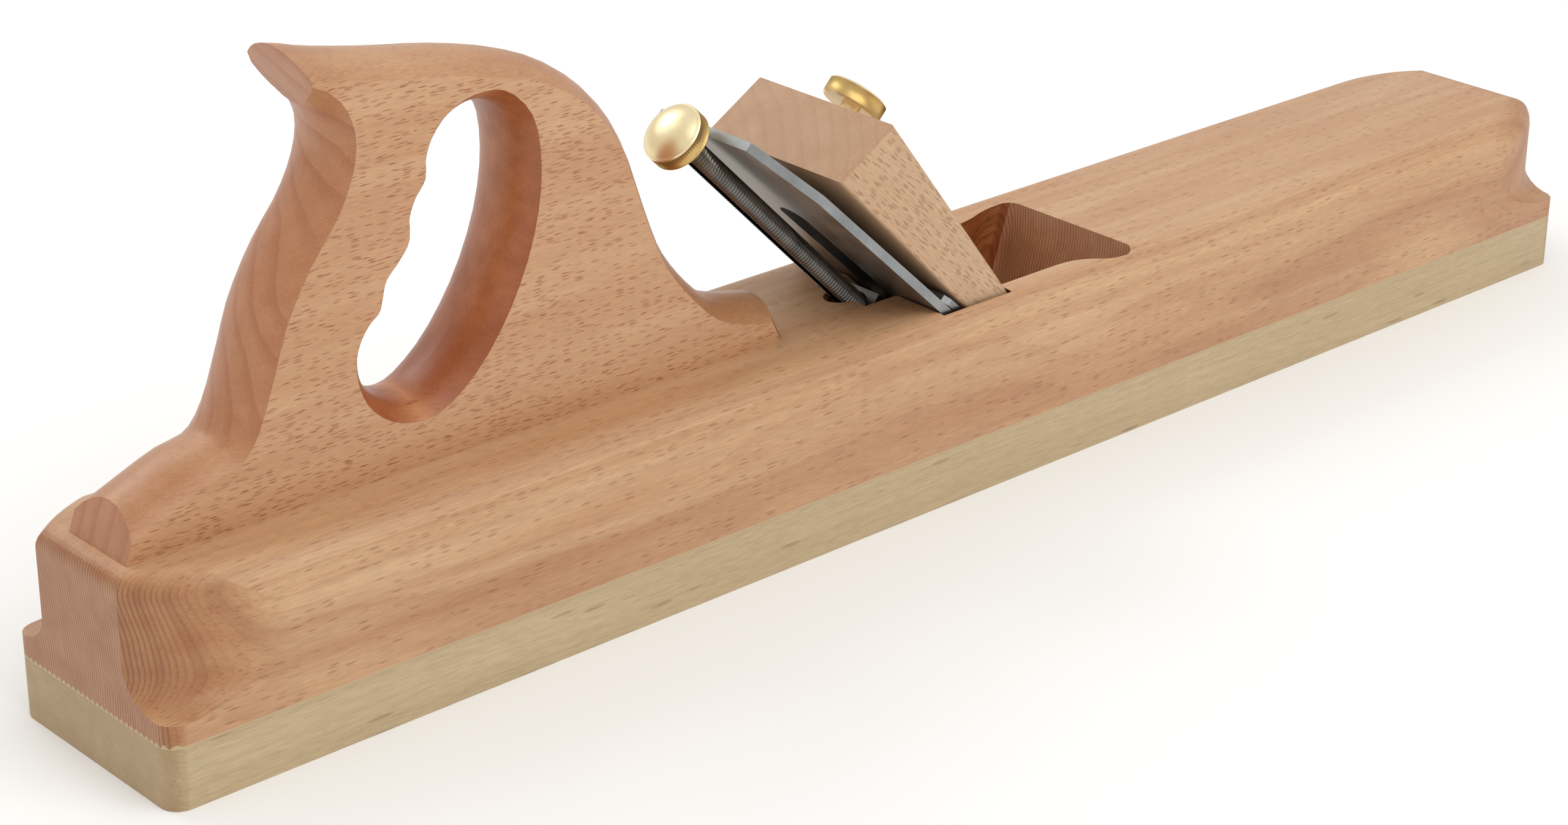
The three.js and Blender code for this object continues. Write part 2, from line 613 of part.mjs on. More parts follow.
function makeSwivelNut() {
  const pin = rod(SWIVEL_PIN, PLATE.floor + GAP, -12).translate(NUT_A, 0, 0);
  const bore = screwInBed(rod(THREAD_RADIUS + GAP, -20, 20));
  return piece('swivel_nut', carve(block(...SWIVEL_BLOCK), { join: [pin], cut: [bore] }), BRIGHT_STEEL);
}

function makeSwivelPlate() {
  const bore = PLATE_SCREW_SHANK + GAP;
  const below = PLATE.floor - 1;
  const above = PLATE.top + 0.2;
  const sink = [[0, below], [bore, below], [bore, PLATE.top - 1.6], [PLATE_SCREW_HEAD + 0.4, above], [0, above]];
  const sinks = Object.values(PLATE_SCREWS).map((a) => turned(sink, 20).translate(a, 0, 0));
  const eye = rod(SWIVEL_PIN + GAP, below, above).translate(NUT_A, 0, 0);
  const sheet = block([PLATE.low, -PLATE.half, PLATE.floor], [PLATE.high, PLATE.half, PLATE.top]);
  return piece('swivel_plate', carve(sheet, { cut: [eye, ...sinks] }), BRIGHT_STEEL);
}

function makePlateScrew([name, a]) {
  const shank = PLATE_SCREW_SHANK;
  const profile = [
    [0, PLATE_SCREW_TIP], [shank, PLATE_SCREW_TIP + 2.5], [shank, PLATE.top - 1.5],
    [PLATE_SCREW_HEAD, PLATE.top], [0, PLATE.top],
  ];
  return piece(name, turned(profile, 20).translate(a, 0, 0), BRIGHT_STEEL);
}

// ---- Assembly ----------------------------------------------------------------------------

plane.add(makeSole(), makeBody(), makeHandle(), ...Object.entries(DOWELS).map(makeDowel));
bed.add(makeCuttingIron(), makeCapIron(), makeCapIronBoss(), makeCapIronScrew());
bed.add(makeClampBlock(), makeThreadedBush(), makeClampKnob(), makePressureFoot());
bed.add(makeDriveBlock(), makeSwivelNut(), makeSwivelPlate());
bed.add(...Object.entries(PLATE_SCREWS).map(makePlateScrew));
screw.add(makeSpindle(), makeDepthKnob(), makeSpindleClip(), makeThrustWasher());

export default plane;
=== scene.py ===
# %% [markdown]
# # A wooden jointer plane with a screw adjuster
# This lesson dresses a finished mechanical model of a hand plane. The model already holds every
# piece at its true size and place, so nothing is moved or resized here. What is added is what the
# eye judges: softened edges, a real screw thread, knurling, and woods and metals made from nodes.

# %% Load the frame
import json
import math

import bmesh
import bpy
from mathutils import Matrix, Vector


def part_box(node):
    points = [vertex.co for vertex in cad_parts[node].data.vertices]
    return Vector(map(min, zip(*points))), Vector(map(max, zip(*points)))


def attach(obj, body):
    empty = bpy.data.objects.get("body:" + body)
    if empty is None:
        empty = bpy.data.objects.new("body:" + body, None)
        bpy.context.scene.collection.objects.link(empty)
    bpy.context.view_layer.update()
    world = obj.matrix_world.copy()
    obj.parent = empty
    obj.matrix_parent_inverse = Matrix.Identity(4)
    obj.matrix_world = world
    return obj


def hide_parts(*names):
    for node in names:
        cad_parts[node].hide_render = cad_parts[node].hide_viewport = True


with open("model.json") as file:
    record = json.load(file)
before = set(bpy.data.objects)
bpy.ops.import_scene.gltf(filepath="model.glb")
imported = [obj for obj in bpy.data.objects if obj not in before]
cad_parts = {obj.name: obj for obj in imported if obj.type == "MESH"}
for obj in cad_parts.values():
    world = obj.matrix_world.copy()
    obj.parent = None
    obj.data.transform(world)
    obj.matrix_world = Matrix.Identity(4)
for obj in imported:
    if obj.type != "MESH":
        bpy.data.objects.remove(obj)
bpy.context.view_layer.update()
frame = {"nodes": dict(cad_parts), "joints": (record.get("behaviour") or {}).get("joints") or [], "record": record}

joints = {joint["name"]: joint for joint in frame["joints"]}
bodies = frame["record"]["behaviour"]["bodies"]
body_with = {node: body for body, nodes in bodies.items() for node in nodes}
MM = 0.001

# %% [markdown]
# ## Camera
# The plane is seen from behind its heel and a little above, through a long lens, so its edges
# stay almost parallel. A long lens far away is the usual choice for a catalogue picture. The
# camera looks at a point on the plane from an azimuth, an elevation and a distance, then rolls
# half a degree, which is easier to read and change than a matrix.

# %% Camera
LENS = 77.87                                   # mm, on a sensor 36 mm wide
AZIMUTH, ELEVATION, ROLL = (math.radians(angle) for angle in (42.476, 24.114, 0.466))
DISTANCE = 1.0555                              # m
LOOK_AT = Vector((-0.04969, 0, 0.029224))

camera = bpy.data.objects.new("camera", bpy.data.cameras.new("camera"))
camera.data.lens = LENS
camera.data.sensor_width = 36
camera.data.clip_start = 0.05
bpy.context.scene.collection.objects.link(camera)
away = Vector((-math.cos(ELEVATION) * math.sin(AZIMUTH),
               -math.cos(ELEVATION) * math.cos(AZIMUTH),
               math.sin(ELEVATION)))
aim = (-away).to_track_quat("-Z", "Y").to_matrix().to_4x4()
camera.matrix_world = Matrix.Translation(LOOK_AT + away * DISTANCE) @ aim @ Matrix.Rotation(ROLL, 4, "Z")
bpy.context.scene.camera = camera
bpy.context.scene.view_settings.view_transform = "Standard"
print("camera at", [round(value, 3) for value in camera.matrix_world.translation])

# %% [markdown]
# ## Two helpers for every material
# Colours are written as the hex values of a paint chart. Those are sRGB, and shaders want linear
# light, so one function converts them. A second one adds any node: its properties by name, and
# its inputs either as a value or as a link. With these two a material reads like a recipe.

# %% Colour and node helpers
def hex_colour(code):
    """A hex colour such as "c49a6c" as linear red, green, blue and alpha."""
    shares = [int(code[i:i + 2], 16) / 255 for i in (0, 2, 4)]
    linear = [share / 12.92 if share <= 0.04045 else ((share + 0.055) / 1.055) ** 2.4 for share in shares]
    return (*linear, 1)


def add(tree, kind, inputs=None, **settings):
    """Adds a node with its settings, and gives each input a value or a link."""
    made = tree.nodes.new("ShaderNode" + kind)
    for name, value in settings.items():
        setattr(made, name, value)
    for socket, value in (inputs or {}).items():
        if isinstance(value, bpy.types.NodeSocket):
            tree.links.new(value, made.inputs[socket])
        else:
            made.inputs[socket].default_value = value
    return made


FACTOR, FIRST, SECOND, MIXED = 0, 6, 7, 2      # the sockets of a Mix node that mixes colours


def material(name, **surface):
    """A new material, its node tree and its shader with the given sockets set."""
    made = bpy.data.materials.new(name)
    made.use_nodes = True
    shader = made.node_tree.nodes["Principled BSDF"]
    for socket, value in surface.items():
        shader.inputs[socket.replace("_", " ")].default_value = value
    return made, made.node_tree, shader


print("helpers ready; mid grey is", [round(value, 3) for value in hex_colour("808080")[:3]])

# %% [markdown]
# ## Wood
# Beech is a dense, pinkish brown wood. Planed along the grain it shows short dark dashes, which
# are its rays cut across, and faint nested arches where a growth ring is cut at a shallow angle.
# Sawn across the grain the rings become fine parallel lines and the colour deepens, because end
# grain soaks up more oil.
#
# A flat picture wrapped round the block could not do this on every face. A solid pattern can:
# rings are shells round the tree's heart, dashes are small lens-shaped cells, and each face shows
# the cut that it makes through them. Everything is measured in millimetres, in Object coordinates
# turned so that X runs along the grain.

# %% Grain coordinates, and how a face cuts the grain
END_GRAIN = (0.35, 0.9)                         # facing along the fibres, from side grain to end grain
CHEEK = (0.3, 0.9)                              # facing across the board, from edge to cheek


def grain_space(tree, turn, seed):
    """Texture coordinates, the same turned along the grain, and a way to stretch those."""
    place = add(tree, "TexCoord")
    along = add(tree, "Mapping", {"Vector": place.outputs["Object"], "Rotation": turn},
                vector_type="TEXTURE").outputs["Vector"]

    def stretched(length, width, shift=0.0, depth=None):
        """The grain coordinates scaled so that one unit is a cell of this size in mm."""
        size = [1 / (value * MM) for value in (length, width, depth or width)]
        cell = add(tree, "Mapping", {"Vector": along, "Scale": size, "Location": (shift + seed,) * 3})
        return cell.outputs["Vector"]

    return place, along, stretched


def face_cuts(tree, normal, turn):
    """How far a face is end grain, slanting grain, and a cheek of the board, each from 0 to 1."""
    fibre = Vector((1, 0, 0))
    fibre.rotate(Matrix.Rotation(turn[1], 3, "Y"))
    facing = add(tree, "VectorMath", {0: normal, 1: fibre}, operation="DOT_PRODUCT")
    squarely = add(tree, "Math", {0: facing.outputs["Value"]}, operation="ABSOLUTE")
    end = add(tree, "MapRange", {"Value": squarely.outputs[0], "From Min": END_GRAIN[0],
                                 "From Max": END_GRAIN[1]}, interpolation_type="SMOOTHSTEP")
    rest = add(tree, "Math", {0: 1.0, 1: squarely.outputs[0]}, operation="SUBTRACT")
    slant = add(tree, "Math", {0: squarely.outputs[0], 1: rest.outputs[0]}, operation="MULTIPLY")
    sides = add(tree, "SeparateXYZ", {"Vector": normal})
    cheek = add(tree, "Math", {0: sides.outputs["Y"]}, operation="ABSOLUTE")
    return end.outputs[0], slant.outputs[0], cheek.outputs[0]


print("end grain starts where a face turns past", END_GRAIN[0], "of the fibre's direction")

# %% Growth rings
LATE_WOOD = (0.45, 0.96)                        # the part of each year where the wood darkens
WANDER_CELL = (170, 34)                         # mm, how slowly the rings drift along and across
BAND_YEARS = 2.5                                # years that make half of a broad band
BAND_START = 0.9                                # years into it where the band begins


def growth_rings(tree, along, stretched, rings):
    """The dark late wood of every year, and broad soft bands of several years."""
    wander = add(tree, "TexNoise", {"Vector": stretched(*WANDER_CELL, 3.1), "Scale": 1.0, "Detail": 1.5})
    heart = add(tree, "Mapping", {"Vector": along, "Scale": (0, 1, 1),
                                  "Location": (0, -rings["heart"][0] * MM, -rings["heart"][1] * MM)})
    radius = add(tree, "VectorMath", {0: heart.outputs[0]}, operation="LENGTH")
    bent = add(tree, "Math", {0: wander.outputs["Fac"], 1: rings["wander"] * MM,
                              2: radius.outputs["Value"]}, operation="MULTIPLY_ADD")
    spacing = rings["spacing"] * MM
    count = add(tree, "Math", {0: bent.outputs[0], 1: spacing}, operation="DIVIDE")
    within = add(tree, "Math", {0: count.outputs[0]}, operation="FRACT")
    late = add(tree, "MapRange", {"Value": within.outputs[0], "From Min": LATE_WOOD[0],
                                  "From Max": LATE_WOOD[1]}, interpolation_type="SMOOTHSTEP")
    fade = add(tree, "MapRange", {"Value": within.outputs[0], "From Min": LATE_WOOD[1], "From Max": 1.0,
                                  "To Min": 1.0, "To Max": 0.0})
    ring = add(tree, "Math", {0: late.outputs[0], 1: fade.outputs[0]}, operation="MULTIPLY")
    years = add(tree, "Math", {0: bent.outputs[0], 1: spacing * BAND_YEARS}, operation="PINGPONG")
    band = add(tree, "MapRange", {"Value": years.outputs[0], "From Min": spacing * BAND_START,
                                  "From Max": spacing * BAND_YEARS, "To Max": rings["band"]},
               interpolation_type="SMOOTHSTEP")
    return ring.outputs[0], band.outputs[0]


print("a band is", 2 * BAND_YEARS, "years wide")

# %% Rays
CELL_LENGTH = 2.1                               # a cell is this many times its dash's length
CELL_WIDTH = 3.2                                # and this many times its width
LENS = (0.42, 0.26)                             # where a dash starts and is full, from its cell's middle


def ray_dashes(tree, stretched, dashes, end, cheek=None):
    """Lens-shaped cells, a share of which hold a ray: where rays show, and how strongly."""
    size = stretched(dashes["length"] * CELL_LENGTH, dashes["y"] * CELL_WIDTH, 5.5,
                     depth=dashes["z"] * CELL_WIDTH)
    cells = add(tree, "TexVoronoi", {"Vector": size, "Scale": 1.0, "Randomness": 0.85})
    lens = add(tree, "MapRange", {"Value": cells.outputs["Distance"], "From Min": LENS[0],
                                  "From Max": LENS[1]}, interpolation_type="SMOOTHSTEP")
    lot = add(tree, "SeparateColor", {"Color": cells.outputs["Color"]})
    patch = add(tree, "TexNoise", {"Vector": stretched(60, 25, 9.2), "Scale": 1.0})
    odds = add(tree, "MapRange", {"Value": patch.outputs["Fac"], "From Min": 0.3, "From Max": 0.7,
                                  "To Min": dashes["share"] * 0.6,
                                  "To Max": min(dashes["share"] * 1.4, 1)})
    chosen = add(tree, "Math", {0: lot.outputs["Red"], 1: odds.outputs[0]}, operation="LESS_THAN")
    shown = add(tree, "Math", {0: lens.outputs[0], 1: chosen.outputs[0]}, operation="MULTIPLY")
    side_on = add(tree, "Math", {0: 1.0, 1: end}, operation="SUBTRACT")
    dash = add(tree, "Math", {0: shown.outputs[0], 1: side_on.outputs[0]}, operation="MULTIPLY")
    if cheek:
        # Rays that run across the board are dashes on its cheeks and only faint flecks on its edges.
        face_on = add(tree, "MapRange", {"Value": cheek, "From Min": 0.5, "From Max": 0.95,
                                         "To Min": 0.15})
        dash = add(tree, "Math", {0: dash.outputs[0], 1: face_on.outputs[0]}, operation="MULTIPLY")
    depth = add(tree, "MapRange", {"Value": lot.outputs["Green"], "To Min": dashes["strength"] * 0.5,
                                   "To Max": dashes["strength"]})
    mark = add(tree, "Math", {0: dash.outputs[0], 1: depth.outputs[0]}, operation="MULTIPLY")
    return dash.outputs[0], mark.outputs[0]


def below_teeth(tree, position, teeth):
    """1 below the zigzag of a glued joint with fine teeth, 0 above it."""
    at = add(tree, "SeparateXYZ", {"Vector": position})
    half = teeth["pitch"] / 2
    zigzag = add(tree, "Math", {0: at.outputs["Y"], 1: half * MM}, operation="PINGPONG")
    height = add(tree, "Math", {0: zigzag.outputs[0], 1: teeth["rise"] / half, 2: teeth["foot"]},
                 operation="MULTIPLY_ADD")
    below = add(tree, "Math", {0: at.outputs["Z"], 1: height.outputs[0]}, operation="LESS_THAN")
    return below.outputs[0]


print("a dash fills", round(2 * LENS[0] * CELL_LENGTH, 2), "of its stated length at most")

# %% [markdown]
# ## Putting a wood together
# A wood's colour is built in layers, as a finisher would see it: pale ground, broad streaks and
# clouds, bands of several years, single rings, then the oil that end grain and slanting grain
# drink, and the rays on top. Each layer is a colour and an amount.

# %% A solid wood
RIPPLE = 0.08                                   # mm, how deep the fibres stand under the oil


def wood(name, colours, rings, dashes, turn=(0, 0, 0), end_shade=0.6, slant_shade=0.7,
         gloss=0.42, teeth=None, cheeks=False, seed=0):
    """A wood.

    colours: pale, deep, ring and dash, and what end and slanting grain multiply by.
    rings: spacing, heart (y, z) and wander in mm; strengths; how far bands show off the cheeks.
    dashes: length, y and z size in mm, the share of cells that show one, strength.
    """
    made, tree, shader = material(name, Roughness=gloss, IOR=1.5)
    paint = {part: hex_colour(code) for part, code in colours.items()}
    place, along, stretched = grain_space(tree, turn, seed)
    end, slant, cheek = face_cuts(tree, place.outputs["Normal"], turn)
    ring, band = growth_rings(tree, along, stretched, rings)
    dash, mark = ray_dashes(tree, stretched, dashes, end, cheek if cheeks else None)

    # Broad streaks, clouds and fine fibres.
    streak = add(tree, "TexNoise", {"Vector": stretched(130, 7, 7.7), "Scale": 1.0, "Detail": 3.0})
    cloud = add(tree, "TexNoise", {"Vector": stretched(90, 30, 1.3), "Scale": 1.0, "Detail": 2.0})
    fine = add(tree, "TexNoise", {"Vector": stretched(5, 0.45), "Scale": 1.0, "Detail": 2.0}).outputs["Fac"]
    tone = add(tree, "MapRange", {"Value": streak.outputs["Fac"], "From Min": 0.32, "From Max": 0.68})
    tint = add(tree, "MapRange", {"Value": cloud.outputs["Fac"], "From Min": 0.35, "From Max": 0.7,
                                  "To Min": 0.0, "To Max": 0.55})

    # Bands are seen mostly on the cheeks, and single rings mostly on end grain.
    seen = add(tree, "MapRange", {"Value": cheek, "From Min": CHEEK[0], "From Max": CHEEK[1],
                                  "To Min": rings["edge_band"]})
    bands = add(tree, "Math", {0: band, 1: seen.outputs[0]}, operation="MULTIPLY")
    weight = add(tree, "MapRange", {"Value": end, "To Min": rings["strength"],
                                    "To Max": rings["end_strength"]})
    lines = add(tree, "Math", {0: ring, 1: weight.outputs[0]}, operation="MULTIPLY")

    # End grain soaks up oil, and so do slanting cuts, where the pores open widest.
    soak = add(tree, "Math", {0: end, 1: end_shade}, operation="MULTIPLY")
    drunk = add(tree, "Math", {0: slant, 1: 4 * slant_shade}, operation="MULTIPLY", use_clamp=True)

    colour = paint["pale"]
    layers = [(tone.outputs[0], "deep", "MIX"), (tint.outputs[0], "deep", "MIX"),
              (bands.outputs[0], "ring", "MIX"), (lines.outputs[0], "ring", "MIX"),
              (soak.outputs[0], "end", "MULTIPLY"), (drunk.outputs[0], "slant", "MULTIPLY"),
              (mark, "dash", "MIX")]
    for amount, part, blend in layers:
        mixed = add(tree, "Mix", {FACTOR: amount, FIRST: colour, SECOND: paint[part]},
                    data_type="RGBA", blend_type=blend)
        colour = mixed.outputs[MIXED]
    fleck = add(tree, "MapRange", {"Value": fine, "From Min": 0.25, "From Max": 0.75,
                                   "To Min": 0.86, "To Max": 1.1})
    colour = add(tree, "VectorMath", {0: colour, "Scale": fleck.outputs[0]}, operation="SCALE").outputs[0]
    if teeth:
        # Another wood meets this one in fine glued teeth, and shows below their zigzag.
        below = below_teeth(tree, place.outputs["Object"], teeth)
        paler = add(tree, "Mix", {FACTOR: below, FIRST: colour, SECOND: hex_colour(teeth["colour"])},
                    data_type="RGBA")
        colour = paler.outputs[MIXED]

    # The rays stand a hair low and the fibres leave a faint ripple under the oil.
    lowered = add(tree, "Math", {0: dash, 1: -0.6, 2: fine}, operation="MULTIPLY_ADD")
    bump = add(tree, "Bump", {"Height": lowered.outputs[0], "Strength": 0.16, "Distance": RIPPLE * MM})
    sheen = add(tree, "MapRange", {"Value": fine, "To Min": gloss - 0.06, "To Max": gloss + 0.08})
    tree.links.new(colour, shader.inputs["Base Color"])
    tree.links.new(sheen.outputs[0], shader.inputs["Roughness"])
    tree.links.new(bump.outputs["Normal"], shader.inputs["Normal"])
    print("wood:", name)
    return made


# %% [markdown]
# ## The woods of this plane
# The stock is beech with its rings standing upright, so the heel shows fine upright lines, the
# scooped corners show them as curves, and the cheeks show wide arches. The handle is cut so that
# its cheeks are full of dashes. The clamp block is a paler piece, and its grain follows the
# slope of the bed. The sole is hornbeam, nearly white and almost without figure.

# %% Wood materials
up_bed = Vector(joints["block_draw"]["axis"])
bed_turn = (0, -math.atan2(up_bed.z, up_bed.x), 0)
sole_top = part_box("sole")[1].z

BEECH = {"pale": "d0aa82", "deep": "c1926a", "ring": "965a3a",
         "dash": "86492a", "end": "c8a592", "slant": "d8b892"}
# The throat's colours: the oiled stock made darker, with painted shade of the throat's recess.
THROAT_OIL_AND_SHADE_BEECH = {"pale": "b07246", "deep": "97572b", "ring": "6b3414",
              "dash": "50240e", "end": "d8b098", "slant": "d09868"}
HANDLE_BEECH = {"pale": "cda27b", "deep": "c09068", "ring": "ae754f",
                "dash": "904a20", "end": "e0b09c", "slant": "dcb894"}
# The finger hole's colours: the handle's made darker and more orange, as painted shade inside the hole.
HOLE_SHADE_BEECH = {**HANDLE_BEECH, "pale": "c78b5e", "deep": "b07040", "slant": "c48a56"}
BLOCK_BEECH = {"pale": "ccab8a", "deep": "c29e7b", "ring": "b38b6a",
               "dash": "84542f", "end": "dec6b2", "slant": "e8d8c4"}
HORNBEAM = {"pale": "c5af8b", "deep": "bba47f", "ring": "a68c69",
            "dash": "8e7150", "end": "cdb59c", "slant": "e4d8c8"}

stock_rings = {"spacing": 1.15, "heart": (150, 20), "wander": 9, "strength": 0.13,
               "end_strength": 0.8, "band": 0.28, "edge_band": 0.2}
handle_rings = {"spacing": 7, "heart": (70, 60), "wander": 16, "strength": 0.14,
                "end_strength": 0.5, "band": 0.2, "edge_band": 1.0}
hole_rings = {**handle_rings, "strength": 0.2, "end_strength": 0.3, "band": 0.1}
block_rings = {"spacing": 5, "heart": (90, 50), "wander": 7, "strength": 0.1,
               "end_strength": 0.25, "band": 0.06, "edge_band": 1.0}
sole_rings = {"spacing": 2.6, "heart": (30, -60), "wander": 10, "strength": 0.16,
              "end_strength": 0.12, "band": 0.14, "edge_band": 1.0}
stock_dashes = {"length": 2.6, "y": 0.26, "z": 0.26, "share": 0.35, "strength": 0.45}
glue_teeth = {"pitch": 2.4, "rise": 1.3, "foot": sole_top + 0.2 * MM, "colour": "bba47f"}

# Oiled beech, planed: satin, with upright rings.
oiled_beech = wood("oiled_beech", BEECH, stock_rings, stock_dashes, teeth=glue_teeth)
# Oiled beech, chiselled: the throat's walls, deep orange brown, partly the oil they hold and partly painted shade
# of the throat's recess.
chiselled_beech_oil_and_shade = wood("chiselled_beech_oil_and_shade", THROAT_OIL_AND_SHADE_BEECH, {**stock_rings, "strength": 0.45}, stock_dashes,
                       gloss=0.36)
# Oiled beech, spokeshaved: the handle, with many dashes.
handle_beech = wood("spokeshaved_beech", HANDLE_BEECH, handle_rings,
                    {"length": 2.3, "y": 3, "z": 0.22, "share": 0.95, "strength": 0.85},
                    end_shade=0.5, slant_shade=0.5, gloss=0.36, cheeks=True, seed=2)
# Oiled beech, rasped and sanded: the wall of the finger hole, darker and more orange as painted shade inside the
# hole.
hole_shade_beech = wood("rasped_beech_painted_shade", HOLE_SHADE_BEECH, hole_rings,
                  {"length": 3.0, "y": 3, "z": 0.27, "share": 0.3, "strength": 0.5},
                  end_shade=0.3, gloss=0.36, seed=2)
# Beech left paler, planed: the clamp block, its grain along the bed.
block_beech = wood("planed_pale_beech", BLOCK_BEECH, block_rings,
                   {"length": 2.4, "y": 3, "z": 0.18, "share": 0.6, "strength": 0.8},
                   turn=bed_turn, end_shade=0.45, gloss=0.5, cheeks=True, seed=4)
# Hornbeam, planed: pale, dull and nearly plain.
hornbeam = wood("planed_hornbeam", HORNBEAM, sole_rings,
                {"length": 6, "y": 0.5, "z": 0.5, "share": 0.05, "strength": 0.5},
                end_shade=0.4, gloss=0.5, seed=6)

# %% [markdown]
# ## Metals
# The irons are tool steel, ground flat and left dark by hardening; the grinding marks run across
# them and their side edges are brighter, because those were ground last. The screws are turned,
# so their marks run round. The knobs are brass, turned to a satin and knurled on the rim.
#
# Turning marks could be a picture, but a ring pattern centred on the piece's own axis is exact.
# A Mapping node of the Texture kind carries the pattern to that axis.

# %% A machined metal
def metal(name, colours, marks, roughness, turn=(0, 0, 0), centre=(0, 0, 0), kind="BANDS", depth=0.02):
    """A metal that mottles between two colours, with tool marks a given number of mm apart.

    turn and centre carry the marks to a piece's own axis; kind is BANDS or RINGS; depth is in mm.
    """
    made, tree, shader = material(name, Metallic=1.0, Roughness=roughness)
    place = add(tree, "TexCoord")
    local = add(tree, "Mapping", {"Vector": place.outputs["Object"], "Location": centre, "Rotation": turn},
                vector_type="TEXTURE").outputs[0]
    # A Wave node repeats every 2 pi / 20 of its scaled coordinate.
    scale = 2 * math.pi / 20 / (marks * MM)
    lines = add(tree, "TexWave", {"Vector": local, "Scale": scale, "Distortion": 1.5, "Detail": 1.0,
                                  "Detail Scale": 0.5},
                wave_type=kind, bands_direction="X", rings_direction="Z")
    streaks = add(tree, "Mapping", {"Vector": local, "Scale": (1 / (marks * MM), 30, 30)})
    noise = add(tree, "TexNoise", {"Vector": streaks.outputs[0], "Scale": 1.0, "Detail": 2.0})
    mottle = add(tree, "TexNoise", {"Vector": local, "Scale": 120.0, "Detail": 4.0})
    blend = add(tree, "MapRange", {"Value": mottle.outputs["Fac"], "From Min": 0.3, "From Max": 0.7})
    shade = add(tree, "Mix", {FACTOR: blend.outputs[0], FIRST: hex_colour(colours[0]),
                              SECOND: hex_colour(colours[1])}, data_type="RGBA")
    rough = add(tree, "MapRange", {"Value": mottle.outputs["Fac"], "To Min": roughness - 0.07,
                                   "To Max": roughness + 0.1})
    height = add(tree, "Math", {0: lines.outputs["Fac"], 1: noise.outputs["Fac"]}, operation="ADD")
    bump = add(tree, "Bump", {"Height": height.outputs[0], "Strength": 0.35, "Distance": depth * MM})
    tree.links.new(shade.outputs[MIXED], shader.inputs["Base Color"])
    tree.links.new(rough.outputs[0], shader.inputs["Roughness"])
    tree.links.new(bump.outputs["Normal"], shader.inputs["Normal"])
    print("metal:", name)
    return made


# %% Where the screws lie
def axis_frame(joint):
    """The place of a screw: Z along its joint's axis, Y across the plane."""
    lengthways = Vector(joint["axis"]).normalized()
    outward = lengthways.cross(Vector((0, 1, 0))).normalized()
    turned = Matrix((outward, lengthways.cross(outward), lengthways)).transposed().to_4x4()
    return Matrix.Translation(Vector(joint["pos_m"])) @ turned


depth_axis = axis_frame(joints["depth_turn"])
clamp_axis = axis_frame(joints["clamp_turn"])
depth_place = {"turn": depth_axis.to_euler(), "centre": depth_axis.translation}
clamp_place = {"turn": clamp_axis.to_euler(), "centre": clamp_axis.translation}
print("depth screw at", [round(value / MM, 1) for value in depth_axis.translation], "mm")

# %% Metal materials
# Tool steel, hardened and ground: dark, with grinding marks across the iron.
ground_steel = metal("ground_tool_steel", ("8a837b", "a49d95"), 0.5, 0.42, turn=bed_turn)
# The same steel, ground bright on its narrow edges.
edge_steel = metal("edge_ground_steel", ("87898a", "9fa1a1"), 0.4, 0.34, turn=bed_turn)
# Mild steel, turned or rolled: screws, washers and the small blocks of the adjuster.
turned_steel = metal("turned_steel", ("7c7a77", "9b9996"), 0.3, 0.3, kind="RINGS", **depth_place)
# The same steel with a rolled thread: dark in the roots and polished on the crests.
thread_steel = metal("rolled_thread_steel", ("77746f", "93908b"), 0.3, 0.2, kind="RINGS", **depth_place)
# Cartridge brass, turned to a satin and left without lacquer: one material for each screw's axis.
SATIN_BRASS = ("f6dfac", "ffefc4")
depth_brass = metal("satin_brass_depth", SATIN_BRASS, 0.35, 0.32, kind="RINGS", depth=0.03, **depth_place)
clamp_brass = metal("satin_brass_clamp", SATIN_BRASS, 0.35, 0.32, kind="RINGS", depth=0.03, **clamp_place)
# The same brass on the knurled rim: a little rougher, and deeper in colour as painted shade of its grooves.
knurled_brass_painted_shade = metal("knurled_brass_painted_shade", ("c9a566", "d8b878"), 0.3, 0.36, kind="RINGS", **depth_place)

# %% [markdown]
# ## Softening the pieces of the model
# The model's pieces have mathematically sharp edges. Real ones are broken with a plane stroke or
# a file, and that narrow bright line along an edge is much of what makes a render look solid. So
# each piece is copied, its loose triangles merged, flat faces joined up, and a Bevel modifier set
# to the width of that real edge. The copy rides where the original did and stands for it.

# %% Finishing a piece
CREASE = 32                                     # degrees, from which an edge counts as an arris


def settle(mesh, name, body, nodes, materials, crease=CREASE):
    """Turns a bmesh into a finished piece: smooth except at its creases, riding on a body."""
    for face in mesh.faces:
        face.smooth = True
    for edge in mesh.edges:
        edge.smooth = len(edge.link_faces) == 2 and edge.calc_face_angle(0) < math.radians(crease)
    data = bpy.data.meshes.new(name)
    mesh.to_mesh(data)
    mesh.free()
    for finish in materials:
        data.materials.append(finish)
    made = bpy.data.objects.new(name, data)
    bpy.context.scene.collection.objects.link(made)
    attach(made, body)
    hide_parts(*nodes)
    return made


def merged_copy(node):
    """A bmesh of a model node with its triangles merged and its flat faces joined."""
    mesh = bmesh.new()
    mesh.from_mesh(frame["nodes"][node].data)
    bmesh.ops.remove_doubles(mesh, verts=mesh.verts, dist=0.002 * MM)
    bmesh.ops.dissolve_limit(mesh, angle_limit=math.radians(0.4), verts=mesh.verts, edges=mesh.edges)
    for face in mesh.faces:
        face.material_index = 0
    return mesh


def soften(node, materials, width, sort_faces=None, segments=2, shape=None):
    """A copy of a node with its edges broken by a width in mm.

    shape works on the mesh first, and sort_faces picks a material for each face.
    """
    mesh = merged_copy(node)
    if shape:
        shape(mesh)
    if sort_faces:
        for face in mesh.faces:
            face.material_index = sort_faces(face)
    made = settle(mesh, node + "_finished", body_with[node], [node], materials)
    edge = made.modifiers.new("broken edges", "BEVEL")
    edge.width = width * MM
    edge.segments = segments
    edge.limit_method = "ANGLE"
    edge.angle_limit = math.radians(CREASE)
    print("softened", node, "to", width, "mm")
    return made


# %% Stock: body and sole
THROAT_HALF = 34 * MM                           # half of a width that takes in the whole throat
THROAT_FROM, THROAT_TO = -30 * MM, 80 * MM      # and its reach along the plane
body_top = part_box("body")[1].z


